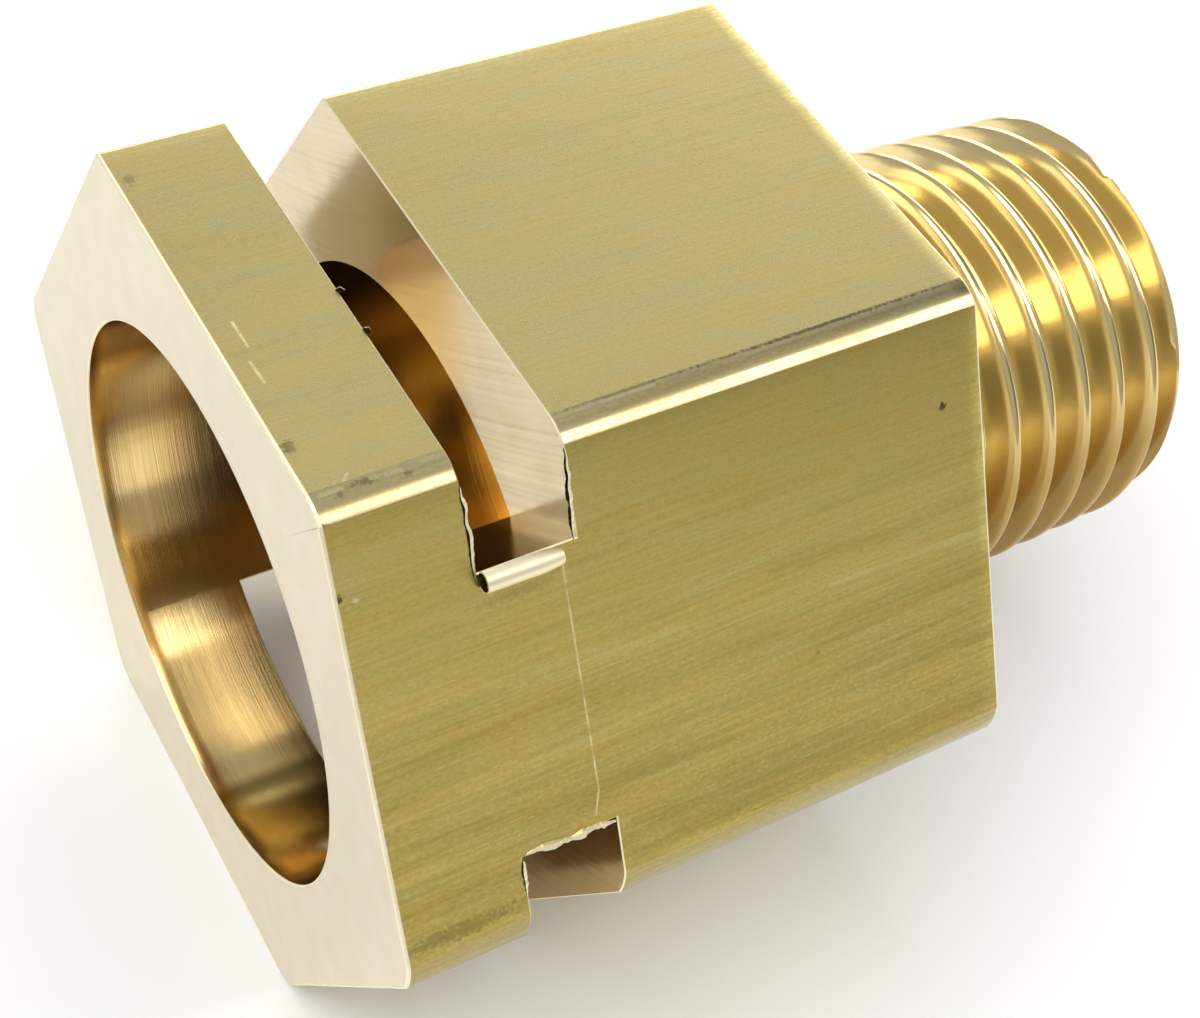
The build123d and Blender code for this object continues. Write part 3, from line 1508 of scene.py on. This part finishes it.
@dataclass(frozen=True)
class MarksAndShade:
    """The marks, painted shade, painted shadow, painted highlights and burrs on the adapter, placed on its
    flats in millimetres.
    """

    apothem: float
    # how far in from each flat the painted shade on the flats starts and is full
    shade_film_depth: float = 0.06
    shade_film_margin: float = 0.01

    def top(self, x: float, along: float, lift: float = 0.0) -> Point:
        """A point on the top flat."""
        return on_flat(TOP_FLAT, self.apothem, x, along, lift)

    def right(self, x: float, along: float, lift: float = 0.0) -> Point:
        """A point on the right flat."""
        return on_flat(RIGHT_FLAT, self.apothem, x, along, lift)

    def flat_stains_and_curl_shadow(self) -> tuple[Spot, ...]:
        """Smudges, specks and pits on the flats, and a painted shadow under the floor curl.

        Returns:
            The marks.
        """
        return (
            Spot(self.top(0.25, 4.13), length=0.24, width=0.24, strength=0.5),
            Spot(self.top(0.36, -4.89), length=0.22, width=0.22, strength=0.35),
            Spot(self.top(1.49, 5.6), length=0.08, width=0.08, strength=0.5),
            Spot(self.right(16.34, -3.44), length=0.15, width=0.12, strength=0.85),
            Spot(self.right(0.14, -4.03), length=0.13, width=0.13, strength=0.8),
            Spot(self.right(12.04, 1.77), length=0.1, width=0.1, strength=0.3),
            Spot(self.right(1.45, 5.07), length=2.0, width=0.3, strength=0.3),
            # painted shadow under the floor curl
            Spot(self.right(4.2, -2.72), length=1.2, width=0.22, strength=0.17),
        )

    def flat_scratches(self) -> tuple[Scratch, ...]:
        """Bright scratches on the flats.

        Returns:
            The lines.
        """
        top, right = self.top, self.right
        return (
            Scratch(top(0.69, 0.29), top(0.7, 1.13), width=0.05),
            Scratch(top(0.55, 1.56), top(0.59, 2.26), width=0.055),
            Scratch(top(1.09, 5.3), top(0.89, 5.5), width=0.06),
            Scratch(top(0.72, 5.42), top(0.76, 5.5), width=0.06),
            Scratch(right(5.457, -3.1), right(5.53, 2.99), width=0.035, strength=0.75),
            Scratch(right(5.53, 2.99), right(5.36, 3.59), width=0.035, strength=0.6),
            Scratch(right(0.47, -3.9), right(0.52, -3.88), width=0.08, strength=0.7),
            Scratch(right(5.6, -0.42), right(8.4, -0.33), width=0.1, strength=0.12, break_size=0.9),
            Scratch(right(12.6, 0.12), right(17.4, 0.24), width=0.11, strength=0.16, break_size=0.9),
        )

    def corner_stains(self) -> tuple[Spot, ...]:
        """Dark streaks along the near corner, and the dark knock on its front end.

        Returns:
            The marks.
        """
        return (
            Spot(self.top(13.6, 5.53), length=4.4, width=0.06, strength=0.65),
            Spot(self.top(8.2, 5.52), length=2.2, width=0.05, strength=0.35),
            Spot(self.top(1.4, 5.62), length=0.5, width=0.12, strength=0.45),
            Spot(self.top(2.3, 5.8), length=0.2, width=0.1, strength=0.5),
            Spot(self.top(0.7, 5.75), length=0.16, width=0.1, strength=0.4),
            Spot(self.right(0.1, -5.62), length=0.22, width=0.3, strength=0.6),
        )

    def corner_wear_and_highlights(self) -> tuple[Scratch, ...]:
        """Bright lines along the near corner: worn places, and painted highlight along the corner's length.

        Returns:
            The lines.
        """
        top = self.top
        return (
            Scratch(top(0.3, 5.62), top(0.8, 5.6), width=0.09, strength=0.8, break_size=0.15),
            Scratch(top(1.5, 5.6), top(2.2, 5.64), width=0.09, strength=0.8, break_size=0.15),
            Scratch(top(2.7, 5.6), top(3.2, 5.6), width=0.08, strength=0.7, break_size=0.15),
            Scratch(top(6.0, 5.62), top(8.6, 5.62), width=0.07, strength=0.6, break_size=0.2),
            Scratch(top(10.5, 5.66), top(17.4, 5.66), width=0.06, strength=0.4, break_size=0.3),
        )

    def flat_shade_films(self) -> tuple[ShadeFilm, ...]:
        """Painted shade on the right flat and the top flat.

        Returns:
            The films of painted shade: one deepens down the right flat, the other away across the top flat.
        """
        starts, full = self.apothem - self.shade_film_depth, self.apothem - self.shade_film_margin
        return (
            ShadeFilm(RIGHT_FLAT, starts, full, thin=(0.89, 0.83, 0.57), deep=(0.56, 0.51, 0.33)),
            ShadeFilm(
                TOP_FLAT, starts, full, thin=(0.98, 0.97, 0.94), deep=(0.74, 0.73, 0.71), across=FAR,
                thin_at=-6.0, deep_at=6.0,
            ),
        )

    def corner_shade_films(self) -> tuple[ShadeFilm, ...]:
        """Painted shade on the low corner."""
        shade_film = ShadeFilm(LOW_CORNER, starts=10.0, full=11.0, thin=(0.83, 0.78, 0.53), deep=(0.5, 0.47, 0.33))
        return (shade_film,)

    def slot_shade_films(self) -> tuple[ShadeFilm, ...]:
        """Brown painted shade in the lower slot."""
        return (ShadeFilm(SLOTTED_CORNER + FULL_TURN / 2, starts=0.0, full=3.0, thin=(0.9, 0.72, 0.46)),)

    def socket_shade_films(self) -> tuple[ShadeFilm, ...]:
        """Brown painted shade in the socket beside the slots.

        Returns:
            The films.
        """
        return (
            ShadeFilm(facing=222.0, starts=5.65, full=6.0, thin=(0.36, 0.34, 0.27)),
            ShadeFilm(facing=42.0, starts=6.0, full=7.0, thin=(0.45, 0.38, 0.3)),
        )

    def thread_shade_films(self) -> tuple[ShadeFilm, ...]:
        """Brown painted shade on the thread's lower side."""
        return (ShadeFilm(facing=205.0, starts=3.2, full=5.4, thin=(0.5, 0.42, 0.29)),)

    def burrs(self) -> tuple[Lip | Curl, ...]:
        """The torn lips on the slots' edges, the curl on the upper slot's floor and the flecks on top.

        Returns:
            The pieces, yet to be built.
        """
        top, right = self.top, self.right
        side, above = way_out(RIGHT_FLAT), way_out(TOP_FLAT)
        fleck = {"outward": above, "width": 0.08, "rise": 0.1, "stations": 16}
        return (
            Curl("floor_curl", right(3.4, -3.33, 0.17), right(5.38, -3.31, 0.17), side),
            Lip("flange_burr", right(3.31, -5.62), right(3.32, -3.3), side, seed=2.0),
            Lip("block_burr", right(5.92, -5.7), right(5.88, -3.45), side, seed=5.0),
            Lip(
                "lower_floor_burr", right(3.4, 3.86), right(5.88, 3.97), side, width=0.2, rise=0.1, wave=0.3,
                seed=8.0,
            ),
            Lip("lower_side_burr", right(3.27, 4.0), right(3.3, 4.9), side, seed=11.0),
            Lip("front_fleck", top(3.26, 0.2), top(3.45, 0.33), **fleck),
            Lip("rear_fleck", top(3.26, 1.58), top(3.43, 1.7), **fleck),
        )


def brass_finishes(wear: MarksAndShade) -> dict[Zone, Finish]:
    """The finishes of the brass.

    Args:
        wear: the marks, painted shade, painted shadow and painted highlights on the adapter.

    Returns:
        The finish of each zone.
    """
    return {
        Zone.DRAWN: DrawnSkin(
            "drawn_brass", light=(0.9, 0.77, 0.38), dark=(0.66, 0.55, 0.23), roughness=0.3, relief=0.0008,
            shade_films=wear.flat_shade_films(), stains_and_shadow=wear.flat_stains_and_curl_shadow(), scratches_and_highlights=wear.flat_scratches(),
        ),
        Zone.FACED: FacedEnd(
            "faced_brass", light=(0.82, 0.74, 0.57), dark=(0.75, 0.66, 0.475), roughness=0.34, relief=0.0012,
        ),
        Zone.SAWN: SawnWall(
            "sawn_brass", light=(0.74, 0.63, 0.42), dark=(0.62, 0.51, 0.31), roughness=0.16, relief=0.001,
            shade_films=wear.slot_shade_films(),
        ),
        Zone.BORED: BoredWall(
            "bored_brass", light=(1.0, 0.78, 0.38), dark=(0.88, 0.65, 0.28), roughness=0.16,
            rough_swing=0.03, relief=0.002, shade_films=wear.socket_shade_films(), feed=Cloud((0.03, 9.0, 9.0)),
        ),
        Zone.THREADED: BoredWall(
            "threaded_brass", light=(0.95, 0.78, 0.4), dark=(0.86, 0.67, 0.3), roughness=0.17,
            rough_swing=0.03, relief=0.0001, shade_films=wear.thread_shade_films(),
        ),
        Zone.EDGE: Finish(
            "broken_edge_brass", light=(1.0, 0.94, 0.72), dark=(0.92, 0.82, 0.52), roughness=0.5,
            relief=0.001,
        ),
        Zone.CORNER: DrawnSkin(
            "corner_brass", light=(0.93, 0.82, 0.48), dark=(0.66, 0.55, 0.27), roughness=0.17, relief=0.0008,
            shade_films=wear.corner_shade_films(), stains_and_shadow=wear.corner_stains(), scratches_and_highlights=wear.corner_wear_and_highlights(),
        ),
        # near-black painted shade, for the burrs' shaded sides and the curl's inside
        Zone.CREVICE: Finish(
            "crevice_brass", light=(0.05, 0.04, 0.02), dark=(0.02, 0.015, 0.01), roughness=0.6,
        ),
    }


def main() -> None:
    """Builds the adapter, its light and its camera."""
    logging.basicConfig(level=logging.INFO, format="%(name)s: %(message)s")
    low, high = (np.array(corner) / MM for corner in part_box(NODE))
    mounts = {mount["name"]: mount for mount in frame["record"]["mounts"]}
    socket, thread = mounts["sensor_socket"], mounts["pipe_thread"]
    body = AdapterBody(
        length=float(high[0]),
        across_flats=float(high[2] - low[2]),
        socket_radius=socket["dims"]["r_mm"],
        socket_depth=socket["dims"]["length_mm"],
        gauge_plane=thread["pos_m"][0] / MM,
        gauge_radius=thread["dims"]["r_mm"],
    )
    # the marks, with painted shade, a painted shadow and painted highlights among them
    wear = MarksAndShade(body.across_flats / 2)
    finishes = brass_finishes(wear)
    skins = [finishes[zone].material() for zone in Zone]
    adapter = body.build()
    for piece in (adapter, *[burr.build() for burr in wear.burrs()]):
        for skin in skins:
            piece.data.materials.append(skin)
        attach(piece, BODY)
        log.info("%s rides on %s", piece.name, BODY)
    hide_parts(NODE)

    studio = Studio(ground=float(low[2]) * MM)
    studio.floor()
    studio.light()
    PhotoCamera().set_up()
    bpy.context.scene.view_settings.view_transform = "Standard"


if __name__ == "__main__":
    main()
